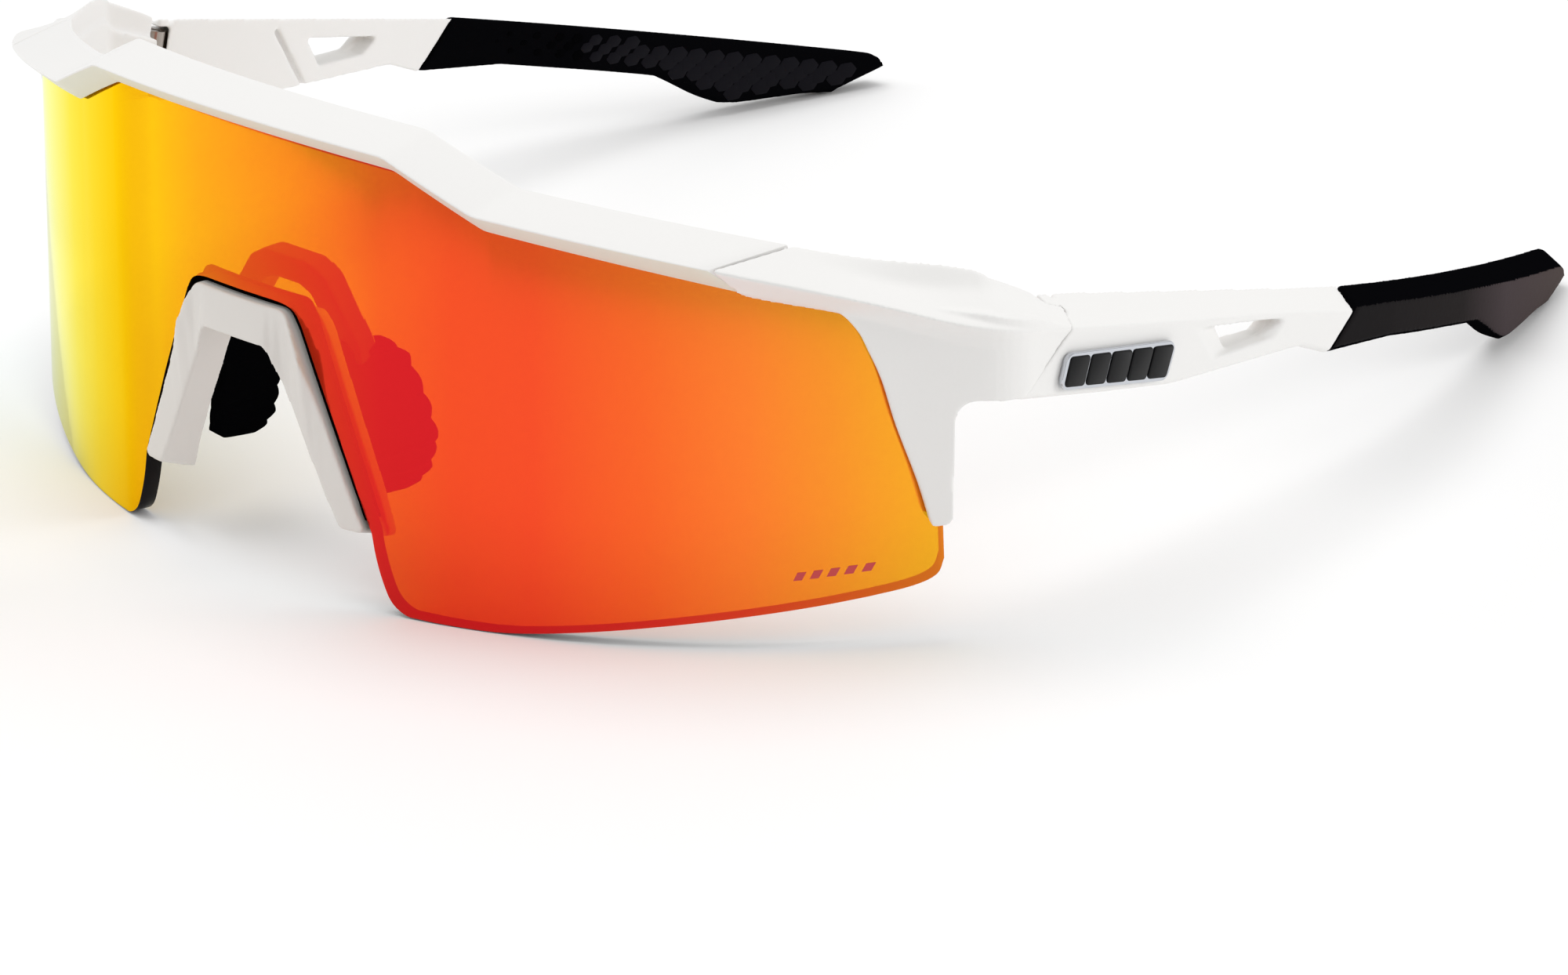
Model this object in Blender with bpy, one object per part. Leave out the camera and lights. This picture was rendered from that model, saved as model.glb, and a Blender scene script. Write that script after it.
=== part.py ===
"""Wraparound shield sunglasses, standing open on a table on the lens and the temple tips.

Frame: metres, +X the wearer's left, +Y from the lens back to the temple tips, +Z up. The origin is
on the table, under the axis of the lens cylinder, which is also the middle of the overall length.
Lengths below are in millimetres and become metres when a mesh is made.
"""
from math import acos, asin, atan2, cos, hypot, pi, radians, sin, sqrt

import bmesh
import bpy
from mathutils import Matrix, Vector

MM = 0.001
GAP = 0.3                 # space between neighbouring solids

# Lens: a vertical cylinder about the Z axis
LENS_R = 77.0             # outer face
LENS_T = 2.0
LENS_EDGE_X = 65.0        # half width of the lens on its outer face
LEAN = 0.022              # the front leans back this much per millimetre of height
LEAN_FROM = 45.0          # height at which the lean is nil
BACK_R = LENS_R - LENS_T

# Brow: a channel over the lens; its edges lie in planes that slope down to the back
LIP_R = 80.3              # front top edge
REAR_R = 73.7             # rear top edge
LIP_PLANE = (21.84, 0.327)    # height at y = 0, fall per millimetre of y
REAR_PLANE = (26.1, 0.315)
LIP_FOOT_PLANE = (18.08, 0.357)   # where the lip meets the lens
STEP_IN, STEP_OUT = 21.05, 30.45  # the raised middle ends between these x
STEP_RISE = 3.85
TOP_WALL = 1.7            # brow thickness over the lens edge
FLANGE_DROP = 5.2         # rear flange below the rear top edge
SEAM_X = 52.4             # brow to end frame joint, at the front
SEAM_SKEW = 0.16          # how far the joint moves outward per millimetre of depth

# End frame: its outer top edge leaves the lip circle and turns to the temple
TURN_FROM = radians(59.5)
TURN_R = 12.0
TURN_TO = radians(96.0)
WALL_IN = 6.9             # inner face of the side wall, measured inward from the outer top edge

# Temple
OUT_X = 69.8              # outer face
SLOPE = radians(14.9)     # the arm falls to the back by this angle
GRIP_START = 20.5         # y of the grip's front seam on the inner top edge

# Hinge: axis square to the sloping arm
HINGE = Vector((66.2, -28.3, 28.3))
AXIS = Vector((0.0, sin(SLOPE), cos(SLOPE)))
ALONG = Vector((0.0, cos(SLOPE), -sin(SLOPE)))
KNUCKLE_R = 1.35
BORE_R = 0.78
PIN_R = 0.70
SEAM_POINT = Vector((0.0, -27.97, 30.97))     # on the slanted joint of the outer face
SEAM_NORMAL = Vector((0.0, 0.566, -0.825))
SPLIT_X = 67.0            # inside this the frame reaches back to the hinge

# Bumper and nose
BUMPER_FRONT_R, BUMPER_BACK_R = 78.2, 74.2
FLANGE_R = 73.2           # back of the bumper's flange behind the lens
BUMPER_TOP, BUMPER_FOOT = 30.8, 8.1

COLORS = {
    "frame_white": ((0.86, 0.86, 0.85, 1.0), 0.55, 0.0),
    "lens_mirror": ((0.95, 0.30, 0.05, 1.0), 0.08, 0.3),
    "rubber_black": ((0.03, 0.03, 0.035, 1.0), 0.75, 0.0),
    "hinge_steel": ((0.45, 0.45, 0.47, 1.0), 0.35, 1.0),
    "badge_chrome": ((0.35, 0.35, 0.38, 1.0), 0.15, 1.0),
}


def clear_scene():
    for item in list(bpy.data.objects):
        bpy.data.objects.remove(item, do_unlink=True)


def material(slot):
    found = bpy.data.materials.get(slot)
    if found:
        return found
    color, roughness, metallic = COLORS[slot]
    made = bpy.data.materials.new(slot)
    made.use_nodes = True
    shader = made.node_tree.nodes["Principled BSDF"]
    shader.inputs["Base Color"].default_value = color
    shader.inputs["Roughness"].default_value = roughness
    shader.inputs["Metallic"].default_value = metallic
    return made


def mesh_object(name, points, faces, slot=None):
    """A closed mesh from points in millimetres, with its faces turned outward."""
    mesh = bpy.data.meshes.new(name)
    mesh.from_pydata([Vector(p) * MM for p in points], [], faces)
    form = bmesh.new()
    form.from_mesh(mesh)
    bmesh.ops.recalc_face_normals(form, faces=form.faces)
    form.to_mesh(mesh)
    form.free()
    made = bpy.data.objects.new(name, mesh)
    bpy.context.scene.collection.objects.link(made)
    if slot:
        mesh.materials.append(material(slot))
    return made


def loft(name, rings, slot=None):
    """Joins rings of equal length into a closed solid with flat ends."""
    count = len(rings[0])
    points = [p for ring in rings for p in ring]
    faces = []
    for i in range(len(rings) - 1):
        for j in range(count):
            a, b = i * count + j, i * count + (j + 1) % count
            faces.append((a, b, b + count, a + count))
    faces.append(tuple(range(count))[::-1])
    last = (len(rings) - 1) * count
    faces.append(tuple(range(last, last + count)))
    return mesh_object(name, points, faces, slot)


def bent_plate(name, outline, place, inner, outer, slot=None, step=3.6):
    """A flat outline (u, z) cut into strips along u, given two faces and bent by place(u, depth, z)."""
    form = bmesh.new()
    form.faces.new([form.verts.new((u, 0.0, z)) for u, z in outline])
    low = min(u for u, z in outline)
    high = max(u for u, z in outline)
    cuts = int((high - low) / step) + 1
    for i in range(1, cuts):
        u = low + (high - low) * i / cuts
        parts = form.verts[:] + form.edges[:] + form.faces[:]
        bmesh.ops.bisect_plane(form, geom=parts, plane_co=(u, 0, 0), plane_no=(1, 0, 0), dist=1e-5)
    front = form.faces[:]
    made = bmesh.ops.extrude_face_region(form, geom=front)
    back = {v for v in made["geom"] if isinstance(v, bmesh.types.BMVert)}
    for v in form.verts:
        depth = inner if v in back else outer
        v.co = Vector(place(v.co.x, depth, v.co.z)) * MM
    bmesh.ops.triangulate(form, faces=form.faces[:])
    bmesh.ops.recalc_face_normals(form, faces=form.faces[:])
    mesh = bpy.data.meshes.new(name)
    form.to_mesh(mesh)
    form.free()
    plate = bpy.data.objects.new(name, mesh)
    bpy.context.scene.collection.objects.link(plate)
    if slot:
        mesh.materials.append(material(slot))
    return plate


def combine(target, tool, operation):
    """Applies one exact Boolean and removes the tool."""
    step = target.modifiers.new("cut", "BOOLEAN")
    step.operation = operation
    step.solver = "EXACT"
    step.object = tool
    graph = bpy.context.evaluated_depsgraph_get()
    mesh = bpy.data.meshes.new_from_object(target.evaluated_get(graph))
    target.modifiers.clear()
    target.data = mesh
    bpy.data.objects.remove(tool, do_unlink=True)
    return target


def block(low, high, matrix=None):
    """A box between two corners, in millimetres, optionally placed by a matrix."""
    xs, ys, zs = zip(low, high)
    points = [Vector((x, y, z)) for x in xs for y in ys for z in zs]
    if matrix:
        points = [matrix @ p for p in points]
    faces = [(0, 1, 3, 2), (4, 6, 7, 5), (0, 4, 5, 1), (2, 3, 7, 6), (0, 2, 6, 4), (1, 5, 7, 3)]
    return mesh_object("block", points, faces)


def prism(outline, low, high, matrix=None, name="prism", slot=None):
    """Extrudes an outline (a, b) between two values of the third axis; matrix places it."""
    rings = [[Vector((a, b, c)) for a, b in outline] for c in (low, high)]
    if matrix:
        rings = [[matrix @ p for p in ring] for ring in rings]
    return loft(name, rings, slot)


def disc_outline(radius, sides=28):
    return [(radius * cos(2 * pi * i / sides), radius * sin(2 * pi * i / sides)) for i in range(sides)]


def mirrored(source, name):
    """The same solid on the other side of the YZ plane, as its own object."""
    mesh = source.data.copy()
    mesh.transform(Matrix.Scale(-1, 4, (1, 0, 0)))
    mesh.flip_normals()
    made = bpy.data.objects.new(name, mesh)
    bpy.context.scene.collection.objects.link(made)
    return made


# ---------------------------------------------------------------- shared curves


def fall(plane, y):
    return plane[0] - plane[1] * y


def rise(x, shift=0.0):
    """Extra height of the raised middle at this x."""
    return STEP_RISE * min(1.0, max(0.0, (STEP_OUT - shift - abs(x)) / (STEP_OUT - STEP_IN)))


def around(x, radius):
    """y of the front half of a circle about the origin."""
    return -sqrt(radius * radius - x * x)


def slot_top(x):
    """Height of the groove's roof over the lens at this x on its outer face."""
    angle = asin(min(0.999, abs(x) / LENS_R))
    front = fall(LIP_PLANE, -LIP_R * cos(angle))
    rear = fall(REAR_PLANE, -REAR_R * cos(angle))
    deeper = 0.9 * max(0.0, (abs(x) - 52.0) / 13.0)
    return (front + rear) / 2 - TOP_WALL - deeper + rise(x)


def leaned(x, y, z):
    """Shears a point of the front back with its height."""
    return (x, y + LEAN * (z - LEAN_FROM), z)


def on_lens(u, radius, z):
    """Bends (arc length on the lens's outer face, radius, height) round the lens."""
    return leaned(radius * sin(u / LENS_R), -radius * cos(u / LENS_R), z)


def lens_u(x):
    return LENS_R * asin(x / LENS_R)


def lip_curve(u):
    """Point and inward normal of the outer top edge at this arc length from the middle."""
    turn_u = LIP_R * TURN_FROM
    if u <= turn_u:
        a = u / LIP_R
        return Vector((LIP_R * sin(a), -LIP_R * cos(a), 0)), Vector((-sin(a), cos(a), 0))
    centre = Vector((sin(TURN_FROM), -cos(TURN_FROM), 0)) * (LIP_R - TURN_R)
    a = min(TURN_TO, TURN_FROM + (u - turn_u) / TURN_R)
    point = centre + Vector((sin(a), -cos(a), 0)) * TURN_R
    rest = u - turn_u - (a - TURN_FROM) * TURN_R
    point += Vector((cos(a), sin(a), 0)) * rest
    return point, Vector((-sin(a), cos(a), 0))


def on_side(u, inset, z):
    point, inward = lip_curve(u)
    point = point + inward * inset
    return leaned(point.x, point.y, z)


def rounded(points, radii, steps=4):
    """A closed outline with its corners rounded, each by its own radius."""
    out = []
    count = len(points)
    for i, here in enumerate(points):
        p = Vector(here)
        before, after = Vector(points[i - 1]), Vector(points[(i + 1) % count])
        if radii[i] <= 0:
            out.append((p.x, p.y))
            continue
        to_a, to_b = (before - p).normalized(), (after - p).normalized()
        half = acos(max(-1.0, min(1.0, to_a.dot(to_b)))) / 2
        reach = radii[i] / max(1e-6, sin(half) / cos(half))
        start, end = p + to_a * reach, p + to_b * reach
        centre = p + (to_a + to_b).normalized() * (radii[i] / sin(half))
        a0 = atan2(start.y - centre.y, start.x - centre.x)
        a1 = atan2(end.y - centre.y, end.x - centre.x)
        sweep = (a1 - a0 + pi) % (2 * pi) - pi
        for k in range(steps + 1):
            a = a0 + sweep * k / steps
            out.append((centre.x + radii[i] * cos(a), centre.y + radii[i] * sin(a)))
    return out


# ---------------------------------------------------------------- front


def brow_ring(x0):
    """Section of the brow near x0: a channel over the lens, skewed like the joint at its end."""
    skew = SEAM_SKEW * max(0.0, (abs(x0) - 45.0) / (SEAM_X - 45.0))
    side = 1 if x0 >= 0 else -1

    def station(radius):
        x = abs(x0)
        for _ in range(4):
            depth = around(x, radius) - around(abs(x0), LIP_R)
            x = abs(x0) + skew * depth
        return side * x, around(x, radius)

    ring = []
    xf, yf = station(LIP_R)
    ring.append((xf, yf, fall(LIP_PLANE, yf) + rise(xf)))
    xr, yr = station(REAR_R)
    top = fall(REAR_PLANE, yr) + rise(xr)
    ring.append((xr, yr, top))
    ring.append((xr, yr, top - FLANGE_DROP))
    xi, yi = station(BACK_R - GAP)
    ring.append((xi, yi, top - FLANGE_DROP))
    ring.append((xi, yi, slot_top(xi * LENS_R / (BACK_R - GAP))))
    xo, yo = station(LENS_R + GAP)
    ring.append((xo, yo, slot_top(xo * LENS_R / (LENS_R + GAP))))
    ring.append((xo, yo, fall(LIP_FOOT_PLANE, yo) + rise(xo, 0.9)))
    return [leaned(*p) for p in ring]


def brow_frame():
    half = [0.0, 5.0, 10.0, 15.5, STEP_IN, 24.2, 27.3, STEP_OUT, 34.5, 38.5, 42.0, 45.0, 48.7, SEAM_X]
    stations = [-x for x in half[:0:-1]] + half
    return loft("brow_frame", [brow_ring(x) for x in stations], "frame_white")


def lens_half():
    """Right half of the lens's outline as (x on the outer face, height), from the top middle round."""
    top = [(x, slot_top(x) - GAP) for x in (0, 8, 15, STEP_IN, 25.7, STEP_OUT, 36, 42, 48, 54, 59, 63.0)]
    edge = [(LENS_EDGE_X - 0.5, 33.0), (LENS_EDGE_X - 0.3, 20.0), (LENS_EDGE_X, 8.7)]
    corner = [(64.5, 7.0), (63.2, 6.0)]
    foot = [(56.8, 4.4), (50.0, 3.1), (41.0, 1.5), (34.7, 0.5), (30.5, 0.1), (26.0, 0.0), (22.4, 0.2),
            (20.2, 0.9), (18.7, 2.3), (17.8, 4.2), (17.2, 6.3), (16.9, 8.4)]
    notch = [(12.75, 19.0), (8.45, 29.4), (7.5, 30.8), (5.9, 31.4), (0.0, 31.5)]
    return top + edge + corner + foot + notch


def shield_lens():
    half = lens_half()
    left = [(lens_u(x), z) for x, z in half]
    right = [(-u, z) for u, z in left[-2:0:-1]]
    return bent_plate("shield_lens", left + right, on_lens, BACK_R, LENS_R, "lens_mirror")


def lens_clearance(name="clearance"):
    """The space the lens and its gap take up, open below."""
    reach = LENS_EDGE_X + GAP
    xs = [46.0, 50.0, 54.0, 58.0, 61.0, 63.5]
    roof = [(x, slot_top(x)) for x in [38.0, 42.0] + xs]
    outline = roof + [(reach - 0.2, 33.6), (reach, 20.0), (reach, 2.0), (38.0, 2.0)]
    bent = [(lens_u(min(x, 76.0)), z) for x, z in outline]
    return bent_plate(name, bent, on_lens, BACK_R - GAP, LENS_R + GAP)


def wall_out(u):
    """Inset of the side wall's outer face: level with the lens at its edge, almost flush at the hinge."""
    t = min(1.0, max(0.0, (u - 74.0) / 17.0))
    return 2.8 - 2.4 * t * t * (3 - 2 * t)


def rail_ring(u):
    """Section of the end frame's top rail at arc length u along its outer edge."""
    point, inward = lip_curve(u)
    seam_u, hinge_u = LIP_R * asin(SEAM_X / LIP_R), RAIL_END_U
    t = (u - seam_u) / (hinge_u - seam_u)
    lip_z = fall(LIP_PLANE, point.y)
    rear_in = 6.6 - 1.1 * max(0.0, (t - 0.7) / 0.3)
    rear = point + inward * rear_in
    rear_z = fall(REAR_PLANE, rear.y) - 1.7 * max(0.0, (t - 0.66) / 0.34) ** 1.6
    crease_t = min(1.0, max(0.0, (t - 0.25) / 0.3))
    crease_in = rear_in * (0.55 + 0.37 * t)
    flat_z = lip_z + (rear_z - lip_z) * crease_in / rear_in
    crease_z = flat_z - crease_t * (1.3 - 1.2 * max(0.0, (t - 0.6) / 0.4))
    foot_in = wall_out(u) + 0.2 * (1.0 - t)
    foot_z = lip_z - 2.6 + 1.9 * t
    deep = rear_z - FLANGE_DROP
    return [
        on_side(u, 0.0, lip_z),
        on_side(u, crease_in, crease_z),
        on_side(u, rear_in, rear_z),
        on_side(u, rear_in, deep),
        on_side(u, max(foot_in, 3.0), deep),
        on_side(u, foot_in, foot_z),
    ]


RAIL_END_U = LIP_R * TURN_FROM + (TURN_TO - TURN_FROM) * TURN_R + 6.0


def brow_side():
    """A slab over the brow's side of the joint, with the gap."""
    turn = Matrix(((1, SEAM_SKEW, 0), (0, 1, 0), (0, 0, 1)))
    place = Matrix.Translation((SEAM_X + GAP, around(SEAM_X, LIP_R), 0)) @ turn.to_4x4()
    return block((-30.0, -20.0, 0.0), (0.0, 30.0, 80.0), place)


def side_wall():
    """Side wall and hanging prong as one bent plate."""
    s = LIP_R / LENS_R
    edge = [(lens_u(x) * s, z) for x, z in ((58.6, 36.0), (60.4, 31.6), (61.9, 24.0), (63.2, 17.9), (64.1, 12.7))]
    rear_u = 81.1
    under = [(84.0, 26.1), (88.6, 25.6), (92.5, 23.0), (RAIL_END_U, 23.0)]
    top = [(RAIL_END_U, 31.0), (90.0, 34.0), (84.0, 35.5)]
    points = edge + [(rear_u, 13.1), (rear_u, 26.4)] + under[1:] + top
    radii = [0, 0, 0, 0, 0.7, 1.0, 2.2] + [0] * 6

    def place(u, depth, z):
        return on_side(u, depth or wall_out(u), z)

    return bent_plate("wall", rounded(points, radii), place, WALL_IN, 0.0, step=2.4)


def hinge_space():
    """Placement of hinge coordinates: x, distance back along the arm, distance up the axis."""
    turn = Matrix(((1, 0, 0), (0, ALONG.y, AXIS.y), (0, ALONG.z, AXIS.z)))
    return Matrix.Translation(HINGE) @ turn.to_4x4()


def seam_cutter(offset, low_x, high_x, behind):
    """A thick slab on one side of the slanted joint plane, between two x."""
    along = Vector((0.0, SEAM_NORMAL.z, -SEAM_NORMAL.y))
    base = SEAM_POINT + SEAM_NORMAL * offset
    reach = 40.0 if behind else -40.0
    corners = []
    for x in (low_x, high_x):
        for a in (-30.0, 30.0):
            for b in (0.0, reach):
                p = base + along * a + SEAM_NORMAL * b
                corners.append((x, p.y, p.z))
    faces = [(0, 1, 3, 2), (4, 6, 7, 5), (0, 4, 5, 1), (2, 3, 7, 6), (0, 2, 6, 4), (1, 5, 7, 3)]
    return mesh_object("slab", corners, faces)


def end_frame():
    name = "end_frame_left"
    us = [50.0, 54.0, 58.0, 62.0, 65.5, 69.0, 73.0, 77.0, 80.5, 84.0, 87.0, 90.0, 93.0, RAIL_END_U]
    rail = loft(name, [rail_ring(u) for u in us], "frame_white")
    combine(rail, side_wall(), "UNION")
    combine(rail, brow_side(), "DIFFERENCE")
    combine(rail, lens_clearance(), "DIFFERENCE")
    place = hinge_space()
    combine(rail, seam_cutter(0.0, SPLIT_X - 0.1, 80.0, True), "DIFFERENCE")
    combine(rail, block((-30.0, -1.9, -20.0), (SPLIT_X - HINGE.x, 30.0, 20.0), place), "DIFFERENCE")
    combine(rail, prism(disc_outline(1.7), -12.0, 3.9, place), "DIFFERENCE")
    combine(rail, block((-0.75, -8.3, -1.5), (0.75, 0.0, 1.5), place), "DIFFERENCE")
    return rail


# ---------------------------------------------------------------- nose


def bumper_outline(outer_add, top_add):
    """Outline of the legs and crossbar, (arc length, height), grown outward and upward."""
    outer = [(16.3 + outer_add * 0.6, BUMPER_FOOT), (7.7 + outer_add, 28.8 + top_add)]
    top = [(6.5 + outer_add, BUMPER_TOP + top_add)]
    inner = [(4.5, 26.7), (13.2, BUMPER_FOOT)]
    right = outer + top
    left = [(-x, z) for x, z in top + outer[::-1]]
    cross = [(-x, z) for x, z in inner[::-1]]
    points = right + left + cross + inner
    radii = [0.5, 1.4, 1.4, 1.4, 1.4, 0.5, 0.5, 1.0, 1.0, 0.5]
    return [(lens_u(x), z) for x, z in rounded(points, radii)]


def on_bumper(u, radius, z):
    """As on_lens, with the legs' cut ends falling to the rear."""
    low = max(0.0, (12.0 - z) / (12.0 - BUMPER_FOOT))
    return on_lens(u, radius, z + low * (0.5 - 0.35 * (BUMPER_FRONT_R - radius)))


def nose_bumper():
    outline = bumper_outline(0.0, 0.0)
    bumper = bent_plate("nose_bumper", outline, on_bumper, BUMPER_BACK_R, BUMPER_FRONT_R, "frame_white", 2.5)
    rear = bent_plate("flange", bumper_outline(2.4, -0.5), on_bumper, FLANGE_R, BACK_R - GAP, step=2.5)
    return combine(bumper, rear, "UNION")


BRIDGE_R = (67.6, 70.6)           # radii of the bridge's back and front faces


def nose_bridge():
    """Arch behind the bumper that carries the two pads."""
    outer = [(11.2, 23.4), (10.8, 25.6), (6.1, 32.1), (3.6, 33.4)]
    inner = [(2.0, 30.6), (3.8, 29.9), (7.2, 25.4), (7.7, 23.4)]
    points = outer + [(-x, z) for x, z in outer[::-1]] + [(-x, z) for x, z in inner[::-1]] + inner
    radii = [0.5, 0.8, 2.0, 1.2, 1.2, 2.0, 0.8, 0.5, 0.5, 0.8, 1.0, 0.6, 0.6, 1.0, 0.8, 0.5]
    outline = [(lens_u(x), z) for x, z in rounded(points, radii)]
    return bent_plate("nose_bridge", outline, on_lens, BRIDGE_R[0], BRIDGE_R[1], "frame_white", step=2.5)


def nose_pad():
    """Left pad: a soft plate leaning outward at its foot, held by the bridge."""
    top, foot = Vector((8.9, -67.7, 22.9)), Vector((11.5, -66.6, 9.0))
    up = (top - foot).normalized()
    back = Vector((0.35, 1.0, 0.0))
    back = (back - up * back.dot(up)).normalized()
    out = up.cross(back).normalized()
    if out.x < 0:
        out = -out
    length = (top - foot).length
    outline = rounded([(-4.0, 1.2), (2.6, 0.0), (4.9, 5.5), (3.6, length), (-3.9, length), (-4.4, 9.0)],
                      [2.0, 2.0, 3.0, 1.8, 1.6, 3.0])
    middle = foot
    rings = []
    for depth, pinch in ((-1.0, 0.82), (-0.4, 1.0), (0.9, 1.0), (1.5, 0.86)):
        ring = []
        for a, b in outline:
            b_mid = length / 2
            ring.append(middle + back * (a * pinch) + up * (b_mid + (b - b_mid) * (pinch * 0.5 + 0.5)) + out * depth)
        rings.append(ring)
    return loft("nose_pad_left", rings, "rubber_black")


# ---------------------------------------------------------------- temple


def inner_top(y):
    """x and height of the arm's inner top edge."""
    straight = 32.65 - 0.266 * (y + 25.46)
    if y <= GRIP_START:
        return 64.7 + 1.5 * min(1.0, max(0.0, (y + 25.5) / 40.0)), straight
    t = y - GRIP_START
    x = 66.2 - 0.152 * t - 0.00222 * t * t + 0.0000030 * t ** 3
    return x, 32.65 - 0.266 * (GRIP_START + 25.46) - 0.2785 * t


def arm_bottom(y):
    """Height of the arm's lower edge."""
    points = [(-40.0, 26.6), (-35.8, 25.6), (-21.9, 22.1), (-11.5, 19.6), (9.0, 17.5), (15.0, 16.4),
              (21.0, 15.0), (29.0, 12.4), (37.0, 10.4), (43.0, 8.9), (50.0, 6.8)]
    for (ya, za), (yb, zb) in zip(points, points[1:]):
        if y <= yb:
            return za + (zb - za) * (y - ya) / (yb - ya)
    return points[-1][1]


def width_at(y):
    """Thickness of the arm at this y."""
    return 5.1 - 1.6 * min(1.0, max(0.0, (y + 25.5) / 40.0))


def ridge_drop(y):
    """How far the outer ridge lies below the inner top edge."""
    return 2.5 - 0.8 * min(1.0, max(0.0, (y + 25.5) / 46.0))


def arm_ring(y, shrink=0.0):
    xi, top = inner_top(y)
    xo = xi + width_at(y) - shrink
    foot = arm_bottom(y) + shrink
    return [(xi + shrink, y, top - shrink), (xo, y, top - ridge_drop(y) - shrink * 0.3), (xo, y, foot + 0.4),
            (xo - 0.5, y, foot), (xi + shrink + 0.3, y, foot)]


def slanted(ring, lean):
    """Leans a section: points lower down move forward."""
    top = max(p[2] for p in ring)
    return [(x, y - lean * (top - z), z) for x, y, z in ring]


GRIP_LEAN = 0.72          # the grip's seam runs forward as it goes down
TIP_LEAN = 4.2            # the top of the tip's end face lies this far behind its foot


def temple_arm():
    name = "temple_arm_left"
    ys = [-40.0, -34.0, -28.0, -22.0, -14.0, -6.0, 2.0, 10.0]
    rings = [arm_ring(y) for y in ys] + [slanted(arm_ring(GRIP_START - GAP), GRIP_LEAN)]
    arm = loft(name, rings, "frame_white")
    spigot = loft("spigot", [arm_ring(y, 1.15) for y in (6.0, 18.0, 30.0, 42.0)])
    combine(arm, spigot, "UNION")
    place = hinge_space()
    combine(arm, seam_cutter(GAP, 50.0, 90.0, False), "DIFFERENCE")
    combine(arm, block((-20.0, -40.0, -20.0), (SPLIT_X + 0.25 - HINGE.x, -0.5, 20.0), place), "DIFFERENCE")
    combine(arm, prism(disc_outline(1.7), -12.0, 3.9, place), "DIFFERENCE")
    combine(arm, block((-0.75, -1.0, -3.6), (0.75, 8.3, 3.6), place), "DIFFERENCE")
    combine(arm, window(), "DIFFERENCE")
    return arm


def window():
    """Cutter for the opening in the arm, wider toward the outer face."""
    hole = [(-4.6, 24.0), (3.0, 22.2), (1.9, 21.1), (-3.0, 21.7), (-3.7, 22.0)]
    recess = [(-9.1, 25.0), (6.1, 21.7), (5.0, 20.0), (-5.5, 20.8), (-7.3, 21.2)]
    rings = [[(x, y, z) for y, z in shape] for x, shape in
             ((60.0, hole), (66.6, hole), (OUT_X + 0.1, recess), (OUT_X + 3.0, recess))]
    return loft("window", rings)


def temple_grip():
    """Rubber sleeve: follows the arm, then drops behind the ear and ends in a slanted tip."""
    sections = [  # y, height of the lower edge
        (GRIP_START + 6.0, 13.2), (34.0, 11.1), (42.0, 8.9), (48.3, 7.2), (53.0, 5.2), (56.8, 2.9),
        (58.8, 1.9), (64.0, 1.3), (70.0, 0.6), (75.2, 0.0)]
    rings = [slanted(grip_ring(GRIP_START, arm_bottom(GRIP_START)), GRIP_LEAN)]
    rings += [grip_ring(y, z) for y, z in sections[:-1]]
    rings.append(tip_ring(*sections[-1]))
    grip = loft("temple_grip_left", rings, "rubber_black")
    cavity = loft("cavity", [arm_ring(y, 1.15 - GAP) for y in (0.0, 18.0, 30.0, 42.0 + GAP)])
    return combine(grip, cavity, "DIFFERENCE")


def tip_ring(y, foot):
    """End face of the tip: its top edge lies further back than its foot."""
    back = grip_ring(y + TIP_LEAN, foot)
    low = grip_ring(y, foot)
    return back[:3] + low[3:]


def grip_ring(y, foot):
    xi, top = inner_top(y)
    xo = xi + width_at(y)
    return [(xi, y, top), (xi + 0.9, y, top), (xo, y, top - ridge_drop(y) * 0.8), (xo, y, foot + 0.6),
            (xo - 0.7, y, foot), (xi + 0.6, y, foot), (xi, y, foot + 0.6)]


def badge():
    """Slanted plate on the arm's outer face."""
    outline = rounded([(-25.5, 27.6), (-10.0, 24.0), (-12.0, 20.6), (-27.0, 24.0)], [0.8] * 4, steps=3)
    side = Matrix(((0, 0, 1, 0), (1, 0, 0, 0), (0, 1, 0, 0), (0, 0, 0, 1)))
    low = OUT_X + GAP
    return prism(outline, low, low + 0.6, side, "temple_badge_left", "badge_chrome")


# ---------------------------------------------------------------- hinge


def hinge_frame_leaf():
    place = hinge_space()
    leaf = block((-0.45, -8.0, -1.2), (0.45, -0.9, 1.2), place)
    combine(leaf, prism(disc_outline(KNUCKLE_R), -1.2, 1.2, place), "UNION")
    combine(leaf, prism(disc_outline(BORE_R), -3.0, 3.0, place), "DIFFERENCE")
    leaf.name = "hinge_frame_leaf_left"
    leaf.data.materials.clear()
    leaf.data.materials.append(material("hinge_steel"))
    return leaf


def hinge_temple_leaf():
    place = hinge_space()
    leaf = block((-0.45, 1.9, -3.3), (0.45, 8.0, 3.3), place)
    for low, high in ((-3.3, -1.4), (1.4, 3.3)):
        combine(leaf, prism(disc_outline(KNUCKLE_R), low, high, place), "UNION")
        combine(leaf, block((-0.45, 0.9, low), (0.45, 2.5, high), place), "UNION")
    combine(leaf, prism(disc_outline(BORE_R), -5.0, 5.0, place), "DIFFERENCE")
    leaf.name = "hinge_temple_leaf_left"
    leaf.data.materials.clear()
    leaf.data.materials.append(material("hinge_steel"))
    return leaf


def hinge_screw():
    place = hinge_space()
    screw = prism(disc_outline(PIN_R), -3.9, 3.2, place, "hinge_screw_left", "hinge_steel")
    combine(screw, prism(disc_outline(1.15), -4.2, -3.6, place), "UNION")
    return combine(screw, block((-0.2, -2.0, -5.0), (0.2, 2.0, -3.95), place), "DIFFERENCE")


# ---------------------------------------------------------------- build


def hang_on_hinge(made, side):
    """Moves the object's origin onto its hinge without moving the solid."""
    pivot = Vector((side * HINGE.x, HINGE.y, HINGE.z)) * MM
    made.data.transform(Matrix.Translation(-pivot))
    made.location = pivot


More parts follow.
